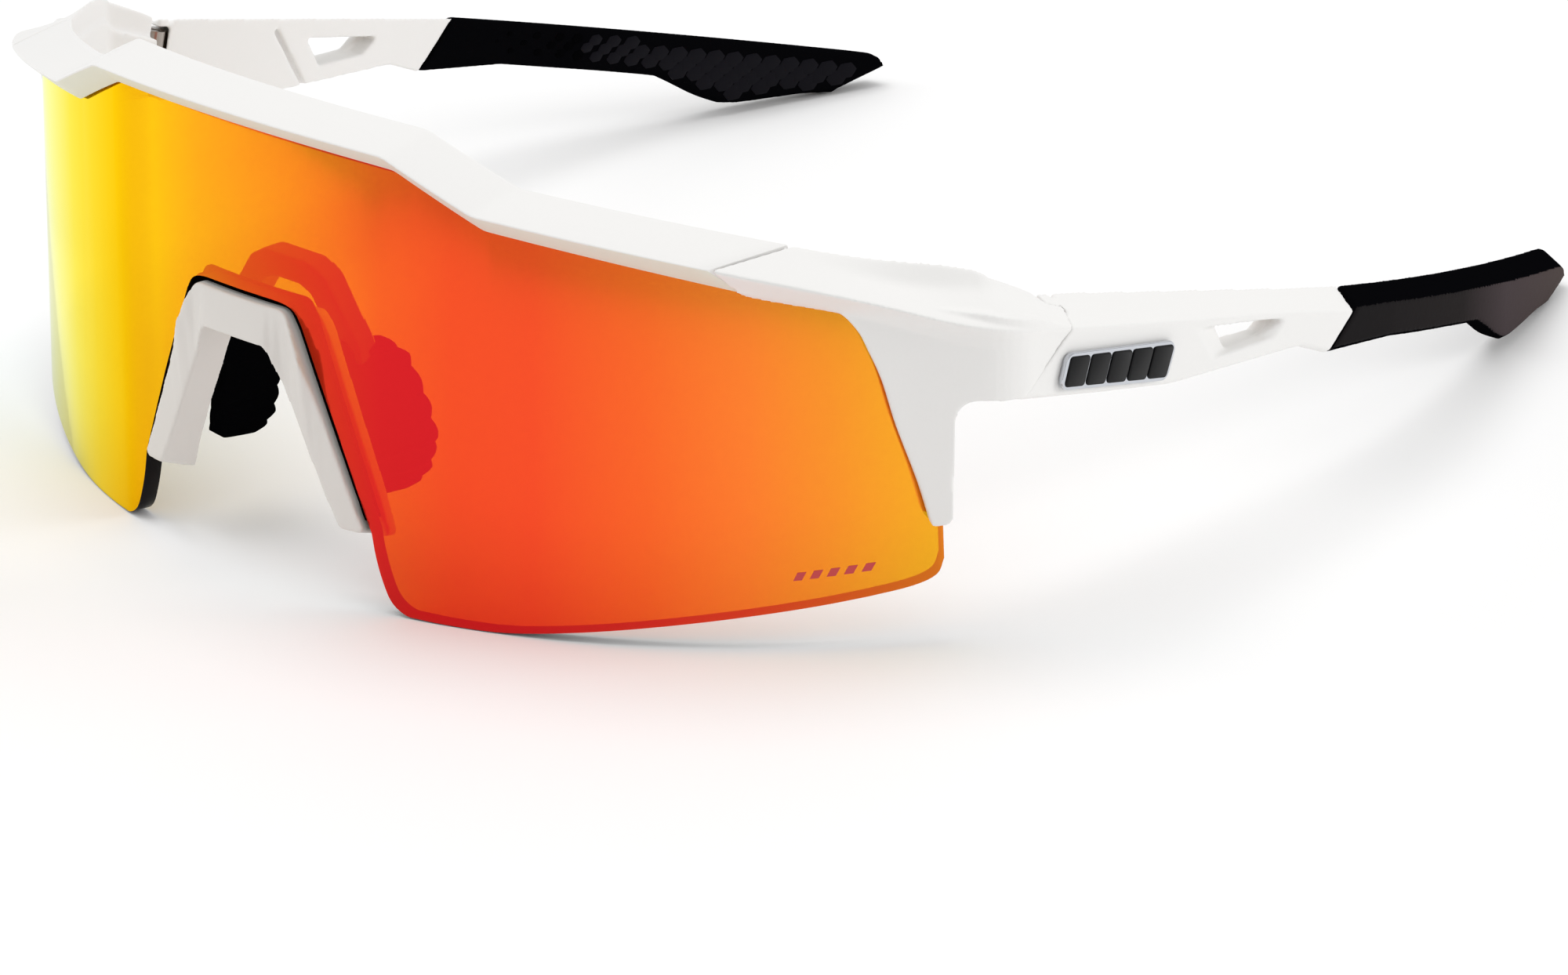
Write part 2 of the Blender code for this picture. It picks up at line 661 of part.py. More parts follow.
def main():
    clear_scene()
    brow_frame()
    shield_lens()
    nose_bumper()
    nose_bridge()
    makers = (end_frame, nose_pad, temple_arm, temple_grip, badge, hinge_frame_leaf, hinge_temple_leaf,
              hinge_screw)
    for maker in makers:
        left = maker()
        right = mirrored(left, left.name.replace("_left", "_right"))
        if maker in (temple_arm, temple_grip, badge, hinge_temple_leaf):
            hang_on_hinge(left, 1)
            hang_on_hinge(right, -1)


main()
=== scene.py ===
"""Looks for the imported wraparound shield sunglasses.

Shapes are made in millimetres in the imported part's frame, and finished() turns them to metres.
A piece whose name ends in _L is the wearer's left one, and its _R twin is its mirror image.
"""
from math import acos, asin, atan2, cos, exp, hypot, pi, radians, sin, sqrt

import bmesh
import bpy
from mathutils import Matrix, Vector


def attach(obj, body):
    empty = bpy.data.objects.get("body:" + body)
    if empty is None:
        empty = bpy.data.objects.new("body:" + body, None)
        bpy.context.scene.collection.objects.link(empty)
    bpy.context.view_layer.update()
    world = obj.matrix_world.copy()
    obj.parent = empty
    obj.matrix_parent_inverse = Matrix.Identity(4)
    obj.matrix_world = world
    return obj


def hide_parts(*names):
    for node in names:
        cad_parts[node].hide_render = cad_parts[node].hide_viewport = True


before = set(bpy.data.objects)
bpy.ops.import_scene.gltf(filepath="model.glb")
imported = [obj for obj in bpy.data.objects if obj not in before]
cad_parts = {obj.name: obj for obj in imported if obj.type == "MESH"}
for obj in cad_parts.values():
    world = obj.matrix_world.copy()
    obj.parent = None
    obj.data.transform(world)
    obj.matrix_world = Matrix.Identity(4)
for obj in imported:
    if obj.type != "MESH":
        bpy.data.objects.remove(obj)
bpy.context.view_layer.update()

GAP = 0.3                     # space between neighbouring pieces
VOXEL = 0.22                  # grid of the softened pieces

# Lens: a cylinder about the Z axis, before the lean
LENS_R, LENS_T = 77.0, 2.0    # outer face, thickness
BACK_R = LENS_R - LENS_T
LENS_EDGE_X = 65.0            # half width on the outer face
LEAN = 0.022                  # the front leans back this much per millimetre of height
LEAN_FROM = 45.0              # height at which the lean is nil

# Brow: a channel over the lens; its edges lie in planes given as (height at y = 0, fall per mm of y)
LIP_R, REAR_R = 80.3, 73.7    # front and rear top edges
LIP_PLANE, REAR_PLANE, LIP_FOOT_PLANE = (21.84, 0.327), (26.1, 0.315), (18.08, 0.357)
STEP_IN, STEP_OUT = 21.05, 30.45   # the raised middle slopes down between these x
STEP_RISE = 3.85
TOP_WALL, FLANGE_DROP = 1.7, 5.2   # wall over the lens edge, depth of the rear flange
SEAM_X, SEAM_SKEW = 51.05, 0.16    # joint to the end frame, and how it moves outward with depth

# End frame: its outer top edge leaves the lip circle and turns to the temple
TURN_FROM, TURN_R, TURN_TO = radians(60.06), 9.5, radians(96.0)
WALL_IN = 6.9                 # inner face of the side wall, inward from the outer top edge
RAIL_RUN = 6.9                # straight run of that edge after the turn
RAIL_END_U = LIP_R * TURN_FROM + (TURN_TO - TURN_FROM) * TURN_R + RAIL_RUN
RAIL_STOP_U = RAIL_END_U + 5.5     # the rail runs on to here before the temple joint cuts it
LIP_DIP = (0.75, 82.0, 8.0)   # depth, place along the edge and width of the dip in the lip
REAR_HUMP = (0.9, 83.0, 9.0)  # the same for the rise of the rear edge

# Temple joint and hinge
OUT_X = 69.8                  # the arm's outer face at the hinge
SLOPE = radians(14.9)         # the arm falls to the back by this angle
HINGE = Vector((66.2, -28.3, 28.3))
AXIS = Vector((0.0, sin(SLOPE), cos(SLOPE)))
ALONG = Vector((0.0, cos(SLOPE), -sin(SLOPE)))
SEAM_POINT = Vector((0.0, -27.97, 30.97))     # on the slanted joint of the outer face
SEAM_NORMAL = Vector((0.0, 0.566, -0.825))
SPLIT_X = 67.0                # inside this the frame ends square, ahead of the hinge
FRAME_POCKET = (1.5, 3.66)    # radius and top of the frame's hollow for the knuckles
ARM_POCKET = (1.7, 3.9)       # the same for the arm
CAP_R, CAP_FRONT = 1.55, -0.7  # lid of the arm over the knuckles, and where its front is cut
LEAF_SLOT, LEAF_REACH = 0.75, 8.3  # half width and length of the slots for the hinge leaves
WELL = -12.0                  # the hollows are open below to here

# Grip
GRIP_START, GRIP_LEAN = 20.5, 0.72  # y of the seam on the inner top edge, and how it runs forward below
SPIGOT_SHRINK = 1.15          # the tongue inside the grip is set in by this much from the arm's faces

# Nose
BUMPER_FRONT_R, BUMPER_BACK_R, FLANGE_R = 78.6, 74.2, 73.2
BUMPER_TOP, BUMPER_FOOT = 30.8, 8.1
BRIDGE_R = (67.6, 70.6)       # back and front faces of the bridge
PAD_ROWS, PAD_SCALLOPS = 96, 8


# ---------------------------------------------------------------- meshes


def mesh_object(name, points, faces):
    mesh = bpy.data.meshes.new(name)
    mesh.from_pydata([Vector(p) for p in points], [], faces)
    form = bmesh.new()
    form.from_mesh(mesh)
    bmesh.ops.recalc_face_normals(form, faces=form.faces)
    form.to_mesh(mesh)
    form.free()
    made = bpy.data.objects.new(name, mesh)
    bpy.context.scene.collection.objects.link(made)
    return made


def loft(name, rings):
    """Joins rings of equal length into a closed solid with flat ends."""
    count = len(rings[0])
    points = [p for ring in rings for p in ring]
    faces = []
    for i in range(len(rings) - 1):
        for j in range(count):
            a, b = i * count + j, i * count + (j + 1) % count
            faces.append((a, b, b + count, a + count))
    faces.append(tuple(range(count))[::-1])
    last = (len(rings) - 1) * count
    faces.append(tuple(range(last, last + count)))
    return mesh_object(name, points, faces)


def bent_plate(name, outline, place, inner, outer, step=1.2):
    """A flat outline (u, z) cut into strips along u, given two faces and bent by place(u, depth, z)."""
    form = bmesh.new()
    form.faces.new([form.verts.new((u, 0.0, z)) for u, z in outline])
    low = min(u for u, z in outline)
    high = max(u for u, z in outline)
    cuts = int((high - low) / step) + 1
    for i in range(1, cuts):
        u = low + (high - low) * i / cuts
        parts = form.verts[:] + form.edges[:] + form.faces[:]
        bmesh.ops.bisect_plane(form, geom=parts, plane_co=(u, 0, 0), plane_no=(1, 0, 0), dist=1e-5)
    made = bmesh.ops.extrude_face_region(form, geom=form.faces[:])
    back = {v for v in made["geom"] if isinstance(v, bmesh.types.BMVert)}
    for v in form.verts:
        v.co = Vector(place(v.co.x, inner if v in back else outer, v.co.z))
    bmesh.ops.recalc_face_normals(form, faces=form.faces[:])
    mesh = bpy.data.meshes.new(name)
    form.to_mesh(mesh)
    form.free()
    plate = bpy.data.objects.new(name, mesh)
    bpy.context.scene.collection.objects.link(plate)
    return plate


def baked(target):
    """Applies every modifier of the object."""
    graph = bpy.context.evaluated_depsgraph_get()
    mesh = bpy.data.meshes.new_from_object(target.evaluated_get(graph))
    target.modifiers.clear()
    target.data = mesh
    return target


def combine(target, tool, operation):
    step = target.modifiers.new("cut", "BOOLEAN")
    step.operation = operation
    step.solver = "EXACT"
    step.object = tool
    baked(target)
    bpy.data.objects.remove(tool, do_unlink=True)
    return target


def softened(target, voxel=VOXEL, rounds=4):
    """Rebuilds the solid on a fine grid and relaxes it, which rounds every edge a little."""
    grid = target.modifiers.new("grid", "REMESH")
    grid.mode = "VOXEL"
    grid.voxel_size = voxel
    relax = target.modifiers.new("relax", "SMOOTH")
    relax.factor = 0.5
    relax.iterations = rounds
    return baked(target)


def bevelled(target, width, segments=2, angle=35.0):
    edge = target.modifiers.new("edge", "BEVEL")
    edge.width = width
    edge.segments = segments
    edge.limit_method = "ANGLE"
    edge.angle_limit = radians(angle)
    edge.use_clamp_overlap = True
    return baked(target)


# Faces of a box whose corners are listed with z changing fastest and x slowest
BOX_FACES = [(0, 1, 3, 2), (4, 6, 7, 5), (0, 4, 5, 1), (2, 3, 7, 6), (0, 2, 6, 4), (1, 5, 7, 3)]


def block(low, high, matrix=None):
    xs, ys, zs = zip(low, high)
    points = [Vector((x, y, z)) for x in xs for y in ys for z in zs]
    if matrix:
        points = [matrix @ p for p in points]
    return mesh_object("block", points, BOX_FACES)


def prism(outline, low, high, matrix=None, name="prism"):
    rings = [[Vector((a, b, c)) for a, b in outline] for c in (low, high)]
    if matrix:
        rings = [[matrix @ p for p in ring] for ring in rings]
    return loft(name, rings)


def disc_outline(radius, sides=40):
    return [(radius * cos(2 * pi * i / sides), radius * sin(2 * pi * i / sides)) for i in range(sides)]


def rounded(points, radii, steps=6):
    """A closed outline with its corners rounded, each by its own radius."""
    out = []
    count = len(points)
    for i, here in enumerate(points):
        p = Vector(here)
        before, after = Vector(points[i - 1]), Vector(points[(i + 1) % count])
        if radii[i] <= 0:
            out.append((p.x, p.y))
            continue
        to_a, to_b = (before - p).normalized(), (after - p).normalized()
        half = acos(max(-1.0, min(1.0, to_a.dot(to_b)))) / 2
        reach = radii[i] / max(1e-6, sin(half) / cos(half))
        start, end = p + to_a * reach, p + to_b * reach
        centre = p + (to_a + to_b).normalized() * (radii[i] / sin(half))
        a0 = atan2(start.y - centre.y, start.x - centre.x)
        a1 = atan2(end.y - centre.y, end.x - centre.x)
        sweep = (a1 - a0 + pi) % (2 * pi) - pi
        for k in range(steps + 1):
            a = a0 + sweep * k / steps
            out.append((centre.x + radii[i] * cos(a), centre.y + radii[i] * sin(a)))
    return out


def filleted(ring, radii, steps=4):
    """A closed ring in space with each corner turned into a short curve."""
    out = []
    for i, corner in enumerate(ring):
        p = Vector(corner)
        a, b = Vector(ring[i - 1]) - p, Vector(ring[(i + 1) % len(ring)]) - p
        r = min(radii[i], a.length * 0.45, b.length * 0.45)
        start, end = p + a.normalized() * r, p + b.normalized() * r
        for k in range(steps + 1):
            t = k / steps
            out.append(start * (1 - t) ** 2 + p * (2 * t * (1 - t)) + end * t * t)
    return out


def curve_through(points, per=5):
    """A smooth run of points through the given ones, both ends kept."""
    pts = [Vector(p) for p in points]
    pts = [pts[0] * 2 - pts[1]] + pts + [pts[-1] * 2 - pts[-2]]
    out = []
    for i in range(1, len(pts) - 2):
        a, b, c, d = pts[i - 1], pts[i], pts[i + 1], pts[i + 2]
        for k in range(per):
            t = k / per
            bend = (a * 2 - b * 5 + c * 4 - d) * t * t
            p = (b * 2 + (c - a) * t + bend + (b * 3 - a - c * 3 + d) * t ** 3) / 2
            out.append((p.x, p.y))
    out.append((pts[-2].x, pts[-2].y))
    return out


def mirrored(source, name):
    mesh = source.data.copy()
    mesh.transform(Matrix.Scale(-1, 4, (1, 0, 0)))
    mesh.flip_normals()
    made = bpy.data.objects.new(name, mesh)
    bpy.context.scene.collection.objects.link(made)
    return made


def finished(made, body, nodes, smooth_angle=None):
    made.data.transform(Matrix.Scale(0.001, 4))
    made.data.shade_smooth()
    if smooth_angle:
        made.data.set_sharp_from_angle(angle=radians(smooth_angle))
    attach(made, body)
    if nodes:
        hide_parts(*nodes)
    return made


# ---------------------------------------------------------------- shared curves


def eased(t):
    """Runs from 0 to 1 with soft ends as t does."""
    t = min(1.0, max(0.0, t))
    return t * t * (3 - 2 * t)


def bell(u, form):
    """A bell curve; form is its height, place and width."""
    height, place, width = form
    return height * exp(-((u - place) / width) ** 2)


def fall(plane, y):
    """Height of a plane that slopes down to the back."""
    return plane[0] - plane[1] * y


def plain_rise(x, shift=0.0):
    return STEP_RISE * min(1.0, max(0.0, (STEP_OUT - shift - abs(x)) / (STEP_OUT - STEP_IN)))


def rise(x, shift=0.0, soft=0.45):
    """Extra height of the raised middle, its corners eased."""
    return (plain_rise(x - soft, shift) + plain_rise(x, shift) * 2 + plain_rise(x + soft, shift)) / 4


def around(x, radius):
    """y of a point on the front half of a circle about the Z axis."""
    return -sqrt(radius * radius - x * x)


def slot_top(x):
    """Height of the roof of the lens slot in the brow and the end frame."""
    angle = asin(min(0.999, abs(x) / LENS_R))
    front = fall(LIP_PLANE, -LIP_R * cos(angle))
    rear = fall(REAR_PLANE, -REAR_R * cos(angle))
    deeper = 0.9 * max(0.0, (abs(x) - 52.0) / 13.0)
    return (front + rear) / 2 - TOP_WALL - deeper + rise(x)


def leaned(x, y, z):
    """Shears a point of the front back with its height."""
    return (x, y + LEAN * (z - LEAN_FROM), z)


def on_lens(u, radius, z):
    """Bends (arc length on the lens's outer face, radius, height) round the lens."""
    return leaned(radius * sin(u / LENS_R), -radius * cos(u / LENS_R), z)


def lens_u(x):
    return LENS_R * asin(x / LENS_R)


def lip_curve(u):
    """Point and inward normal of the end frame's outer top edge."""
    turn_u = LIP_R * TURN_FROM
    if u <= turn_u:
        a = u / LIP_R
        return Vector((LIP_R * sin(a), -LIP_R * cos(a), 0)), Vector((-sin(a), cos(a), 0))
    centre = Vector((sin(TURN_FROM), -cos(TURN_FROM), 0)) * (LIP_R - TURN_R)
    a = min(TURN_TO, TURN_FROM + (u - turn_u) / TURN_R)
    point = centre + Vector((sin(a), -cos(a), 0)) * TURN_R
    rest = u - turn_u - (a - TURN_FROM) * TURN_R
    point += Vector((cos(a), sin(a), 0)) * rest
    return point, Vector((-sin(a), cos(a), 0))


def on_side(u, inset, z):
    """A point this far along the end frame's top edge and this far inward from it."""
    point, inward = lip_curve(u)
    point = point + inward * inset
    return leaned(point.x, point.y, z)


# ---------------------------------------------------------------- front


def brow_ring(x0):
    """Section of the brow near x0: a channel over the lens, skewed like the joint at its end."""
    skew = SEAM_SKEW * max(0.0, (abs(x0) - 45.0) / (SEAM_X - 45.0))
    side = 1 if x0 >= 0 else -1

    def station(radius):
        x = abs(x0)
        for _ in range(4):
            x = abs(x0) + skew * (around(x, radius) - around(abs(x0), LIP_R))
        return side * x, around(x, radius)

    ring = []
    xf, yf = station(LIP_R)
    ring.append((xf, yf, fall(LIP_PLANE, yf) + rise(xf)))
    xr, yr = station(REAR_R)
    top = fall(REAR_PLANE, yr) + rise(xr)
    ring.append((xr, yr, top))
    ring.append((xr, yr, top - FLANGE_DROP))
    xi, yi = station(BACK_R - GAP)
    ring.append((xi, yi, top - FLANGE_DROP))
    ring.append((xi, yi, slot_top(xi * LENS_R / (BACK_R - GAP))))
    xo, yo = station(LENS_R + GAP)
    ring.append((xo, yo, slot_top(xo * LENS_R / (LENS_R + GAP))))
    ring.append((xo, yo, fall(LIP_FOOT_PLANE, yo) + rise(xo, 0.9)))
    return filleted([leaned(*p) for p in ring], [0.32, 0.35, 0.3, 0.2, 0.05, 0.05, 0.12])


def steps_between(low, high, step):
    count = max(1, round((high - low) / step))
    return [low + (high - low) * i / count for i in range(count + 1)]


def make_brow():
    marks = [0.0, 19.9, 22.2, 29.3, 31.6, SEAM_X]
    widths = [1.6, 0.35, 1.2, 0.35, 1.4]
    half = []
    for low, high, step in zip(marks, marks[1:], widths):
        half += steps_between(low, high, step)[:-1]
    half.append(SEAM_X - 0.12)
    stations = [-x for x in half[:0:-1]] + half
    rings = [brow_ring(x) for x in stations]
    ends = []
    for near, far in ((rings[0], rings[1]), (rings[-1], rings[-2])):
        centre = sum((Vector(p) for p in near), Vector()) / len(near)
        away = sum((Vector(p) - Vector(q) for p, q in zip(near, far)), Vector()).normalized()
        ends.append([Vector(p) + (centre - Vector(p)).normalized() * 0.12 + away * 0.12 for p in near])
    return loft("brow_shell", [ends[0]] + rings + [ends[1]])


def lens_outline():
    """Outline of the lens as (arc length, height), its right half and then the left."""
    top = [(x, slot_top(x) - GAP) for x in steps_between(0.0, 62.0, 2.0)]
    edge = [(63.4, slot_top(63.0) - GAP - 0.6), (LENS_EDGE_X - 0.5, 33.0), (LENS_EDGE_X - 0.3, 20.0),
            (LENS_EDGE_X, 8.7)]
    corner = curve_through([(LENS_EDGE_X, 8.7), (64.6, 7.0), (63.2, 6.0), (60.4, 5.2)], 4)
    foot = curve_through([(60.4, 5.2), (56.8, 4.4), (50.0, 3.1), (41.0, 1.5), (34.7, 0.55), (30.5, 0.12),
                          (26.0, 0.05), (22.4, 0.12), (20.6, 0.3), (19.0, 1.5), (17.95, 3.8), (17.25, 6.2),
                          (16.8, 8.6)], 5)
    notch_top = curve_through([(8.45, 29.4), (7.5, 30.8), (5.9, 31.4), (3.0, 31.5), (0.0, 31.5)], 4)
    half = top + edge[:-1] + corner + foot[1:] + [(12.75, 19.0)] + notch_top
    left = [(lens_u(x), z) for x, z in half]
    right = [(-u, z) for u, z in left[-2:0:-1]]
    return left + right


def make_lens():
    lens = bent_plate("lens_shield", lens_outline(), on_lens, BACK_R, LENS_R, 1.0)
    return bevelled(lens, 0.22, 2, 50.0)


def lens_clearance():
    """The space the lens and its gap take up in the end frame, open below."""
    reach = LENS_EDGE_X + GAP
    xs = steps_between(38.0, 63.5, 1.5)
    outline = [(x, slot_top(x)) for x in xs]
    outline += [(reach - 0.2, 33.6), (reach, 20.0), (reach, 2.0), (38.0, 2.0)]
    return bent_plate("clearance", [(lens_u(x), z) for x, z in outline], on_lens, BACK_R - GAP, LENS_R + GAP)


def wall_out(u):
    """Inset of the side wall's outer face: deep beside the lens, almost flush at the hinge."""
    return 2.1 - 1.7 * eased((u - 74.0) / 17.0)


def rail_ring(u):
    """Section of the end frame's top rail at arc length u along its outer edge."""
    point, inward = lip_curve(u)
    seam_u = LIP_R * asin(SEAM_X / LIP_R)
    t = min(1.0, (u - seam_u) / (RAIL_END_U - seam_u))
    lip_z = fall(LIP_PLANE, point.y) - bell(u, LIP_DIP)
    rear_in = 6.6 - 1.1 * max(0.0, (t - 0.7) / 0.3)
    rear = point + inward * rear_in
    rear_z = fall(REAR_PLANE, rear.y) - 1.7 * max(0.0, (t - 0.66) / 0.34) ** 3 + bell(u, REAR_HUMP)
    crease_in = rear_in * (0.55 + 0.37 * t)
    flat_z = lip_z + (rear_z - lip_z) * crease_in / rear_in
    crease_z = flat_z - eased((t - 0.2) / 0.35) * (1.35 - 1.2 * max(0.0, (t - 0.6) / 0.4))
    foot_in = wall_out(u) + 0.2 * (1.0 - t)
    hollow = min(1.0, max(0.0, (u - 66.0) / 16.0))
    foot_z = lip_z - 2.6 - 1.0 * hollow + 0.9 * t
    deep = rear_z - FLANGE_DROP
    band = on_side(u, foot_in * (0.5 + 0.22 * hollow), (lip_z + foot_z) / 2 + 0.25 * hollow)
    swell = 0.7 * eased((t - 0.78) / 0.2)
    shoulder_z = lip_z + (crease_z - lip_z) * 2.6 / crease_in + swell
    crease_z += swell * 0.5
    ring = [on_side(u, 0.0, lip_z), on_side(u, 2.6, shoulder_z), on_side(u, crease_in, crease_z),
            on_side(u, rear_in, rear_z), on_side(u, rear_in, deep), on_side(u, max(foot_in, 3.0), deep),
            on_side(u, foot_in, foot_z), band]
    return filleted(ring, [0.25, 0.9, 0.7, 0.35, 0.2, 0.1, 1.2, 1.2], 3)


def brow_side():
    """A slab over the brow's side of the joint, with part of the gap."""
    turn = Matrix(((1, SEAM_SKEW, 0), (0, 1, 0), (0, 0, 1)))
    place = Matrix.Translation((SEAM_X + GAP * 0.6, around(SEAM_X, LIP_R), 0)) @ turn.to_4x4()
    return block((-30.0, -20.0, 0.0), (0.0, 30.0, 80.0), place)


def side_wall():
    """Side wall and hanging prong as one bent plate."""
    spread = LIP_R / LENS_R
    rear_u = 81.1
    edge = curve_through([(50.0, 39.1), (53.0, 38.5), (54.8, 38.05), (56.7, 37.5), (58.2, 36.5),
                          (59.4, 34.5), (60.1, 32.3), (61.0, 28.9), (61.9, 24.0), (63.2, 17.9),
                          (64.1, 12.7)], 6)
    points = [(lens_u(x) * spread, z) for x, z in edge]
    tail = [(rear_u, 13.1), (rear_u, 26.4), (88.6, 25.7), (92.5, 25.2), (RAIL_END_U, 24.3),
            (RAIL_END_U, 31.0), (90.0, 34.0), (84.0, 35.5), (70.0, 38.0), (57.0, 41.0)]
    radii = [0] * (len(points) - 1) + [0.6, 0.9, 2.2] + [0] * 8

    def place(u, depth, z):
        return on_side(u, depth or wall_out(u), z)

    return bent_plate("wall", rounded(points + tail, radii), place, WALL_IN, 0.0, 1.0)


def hinge_space():
    """Placement of hinge coordinates: x, distance back along the arm, distance up the axis."""
    turn = Matrix(((1, 0, 0), (0, ALONG.y, AXIS.y), (0, ALONG.z, AXIS.z)))
    return Matrix.Translation(HINGE) @ turn.to_4x4()


def seam_cutter(offset, low_x, high_x, behind):
    """A thick slab on one side of the slanted joint plane, between two x."""
    along = Vector((0.0, SEAM_NORMAL.z, -SEAM_NORMAL.y))
    base = SEAM_POINT + SEAM_NORMAL * offset
    reach = 40.0 if behind else -40.0
    corners = []
    for x in (low_x, high_x):
        for a in (-30.0, 30.0):
            for b in (0.0, reach):
                p = base + along * a + SEAM_NORMAL * b
                corners.append((x, p.y, p.z))
    return mesh_object("slab", corners, BOX_FACES)


def make_end_frame():
    rail = loft("end_frame_L", [rail_ring(u) for u in steps_between(50.0, RAIL_STOP_U, 1.2)])
    combine(rail, side_wall(), "UNION")
    combine(rail, brow_side(), "DIFFERENCE")
    combine(rail, lens_clearance(), "DIFFERENCE")
    place = hinge_space()
    combine(rail, seam_cutter(0.0, SPLIT_X - 0.1, 80.0, True), "DIFFERENCE")
    combine(rail, block((-30.0, -1.9, -20.0), (SPLIT_X - HINGE.x, 30.0, 20.0), place), "DIFFERENCE")
    combine(rail, prism(disc_outline(FRAME_POCKET[0]), WELL, FRAME_POCKET[1], place), "DIFFERENCE")
    combine(rail, block((-LEAF_SLOT, -LEAF_REACH, -1.5), (LEAF_SLOT, 0.0, 1.5), place), "DIFFERENCE")
    return softened(rail)


# ---------------------------------------------------------------- nose


def bumper_outline(outer_add, top_add, inner_add=0.0):
    """Outline of the legs and crossbar, (arc length, height), grown on each side by its own measure."""
    outer = [(16.3 + outer_add * 0.6, BUMPER_FOOT), (7.7 + outer_add, 28.8 + top_add)]
    top = [(6.5 + outer_add, BUMPER_TOP + top_add)]
    inner = [(4.5 + inner_add, 26.7 + inner_add), (13.2 + inner_add, BUMPER_FOOT)]
    points = outer + top + [(-x, z) for x, z in top + outer[::-1] + inner[::-1]] + inner
    radii = [0.6, 1.6, 1.4, 1.4, 1.6, 0.6, 0.6, 1.2, 1.2, 0.6]
    return [(lens_u(x), z) for x, z in rounded(points, radii)]


def on_bumper(u, radius, z):
    """As on_lens, with the front face stepped back down the legs and their cut ends falling to the rear."""
    low = max(0.0, (12.0 - z) / (12.0 - BUMPER_FOOT))
    back = 0.0
    if radius > LENS_R:
        back = 0.28 * max(0.0, z - 27.0) + min(1.0, max(0.0, (27.0 - z) / 5.0))
    return on_lens(u, radius - back, z + low * (0.5 - 0.3 * (BUMPER_FRONT_R - radius)))


def make_bumper():
    outline = bumper_outline(0.0, 0.0)
    bumper = bent_plate("nose_bumper_shell", outline, on_bumper, BUMPER_BACK_R, BUMPER_FRONT_R)
    rear = bent_plate("flange", bumper_outline(2.4, -0.5), on_bumper, FLANGE_R, BACK_R - GAP)
    return softened(combine(bumper, rear, "UNION"), 0.2, 7)


def make_gap_shade_sheet():
    """A black sheet that fills the gap between the bumper and the lens, as painted shade for the shadowed
    gap.
    """
    def band(name, add, low, high):
        ring = bent_plate(name, bumper_outline(add, add * 0.7), on_lens, low, high)
        hole = bent_plate("hole", bumper_outline(-0.3, -0.3, -8.0), on_lens, low - 1.0, high + 1.0)
        under = prism([(-30, -90), (30, -90), (30, -60), (-30, -60)], -10.0, 9.6)
        combine(ring, under, "DIFFERENCE")
        return combine(ring, hole, "DIFFERENCE")

    film = band("film", 1.3, 74.6, 74.93)
    return combine(band("nose_bumper_reveal", 0.8, 74.6, 76.4), film, "UNION")


def make_bridge():
    """Arch behind the bumper that carries the two pads."""
    outer = [(11.2, 23.4), (10.8, 25.6), (6.1, 32.1), (3.6, 33.4)]
    inner = [(2.0, 30.6), (3.8, 29.9), (7.2, 25.4), (7.7, 23.4)]
    points = outer + [(-x, z) for x, z in outer[::-1]] + [(-x, z) for x, z in inner[::-1]] + inner
    radii = [0.5, 0.8, 2.0, 1.2, 1.2, 2.0, 0.8, 0.5, 0.5, 0.8, 1.0, 0.6, 0.6, 1.0, 0.8, 0.5]
    outline = [(lens_u(x), z) for x, z in rounded(points, radii)]
    return softened(bent_plate("nose_bridge_arch", outline, on_lens, BRIDGE_R[0], BRIDGE_R[1]), 0.25, 8)


def make_pad():
    """Soft pad with a scalloped rear edge, given by its front and rear edges from the top down."""
    front = [(7.7, -71.1, 25.9), (8.4, -71.8, 23.4), (9.5, -72.0, 18.7), (10.7, -71.8, 14.0),
             (11.6, -71.4, 10.8), (11.6, -69.8, 9.6)]
    rear = [(9.2, -66.0, 25.5), (10.4, -63.8, 23.2), (11.2, -62.0, 18.0), (11.9, -61.4, 13.6),
            (11.7, -62.4, 10.6), (11.4, -65.0, 8.9)]
    rings = []
    for i in range(PAD_ROWS + 1):
        t = i / PAD_ROWS
        spot = t * (len(front) - 1)
        k = min(len(front) - 2, int(spot))
        f = Vector(front[k]).lerp(Vector(front[k + 1]), spot - k)
        r = Vector(rear[k]).lerp(Vector(rear[k + 1]), spot - k)
        wave = abs(sin(pi * t * PAD_SCALLOPS))
        back = (r - f).normalized()
        out = Vector((back.y, -back.x, 0.0)).normalized()
        r = r + back * (0.42 * wave - 0.3)
        close = min(1.0, 0.35 + 8 * t, 0.35 + 8 * (1 - t))
        thick = (0.95 + 0.18 * wave) * close
        centre, half = (f + r) / 2, (r - f).length / 2
        ring = []
        for n in range(28):
            a = 2 * pi * n / 28
            ca, sa = cos(a), sin(a)
            ring.append(centre + back * (half * (abs(ca) ** 0.6) * (1 if ca > 0 else -1))
                        + out * (thick * (abs(sa) ** 0.6) * (1 if sa > 0 else -1)))
        rings.append(ring)
    return loft("nose_pad_L", rings)


# ---------------------------------------------------------------- temple


def inner_top(y):
    """x and height of the arm's inner top edge."""
    straight = 32.65 - 0.266 * (y + 25.46)
    if y <= GRIP_START:
        return 64.7 + 1.5 * min(1.0, max(0.0, (y + 25.5) / 40.0)), straight
    t = y - GRIP_START
    x = 66.2 - 0.152 * t - 0.00222 * t * t + 0.0000030 * t ** 3
    return x, 32.65 - 0.266 * (GRIP_START + 25.46) - 0.2785 * t


def between(points, y):
    """Reads a height off straight lines between (y, height) points."""
    for (ya, za), (yb, zb) in zip(points, points[1:]):
        if y <= yb:
            return za + (zb - za) * (y - ya) / (yb - ya)
    return points[-1][1]


# (y, height) of the arm's lower edge
ARM_FOOT = [(-40.0, 26.6), (-35.8, 25.2), (-21.9, 21.9), (-11.5, 19.6), (9.0, 17.5), (15.0, 16.4),
            (21.0, 15.0), (29.0, 12.4), (37.0, 10.4), (43.0, 8.9), (50.0, 6.8)]


def width_at(y):
    """Thickness of the arm."""
    return 5.1 - 1.6 * min(1.0, max(0.0, (y + 25.5) / 40.0))


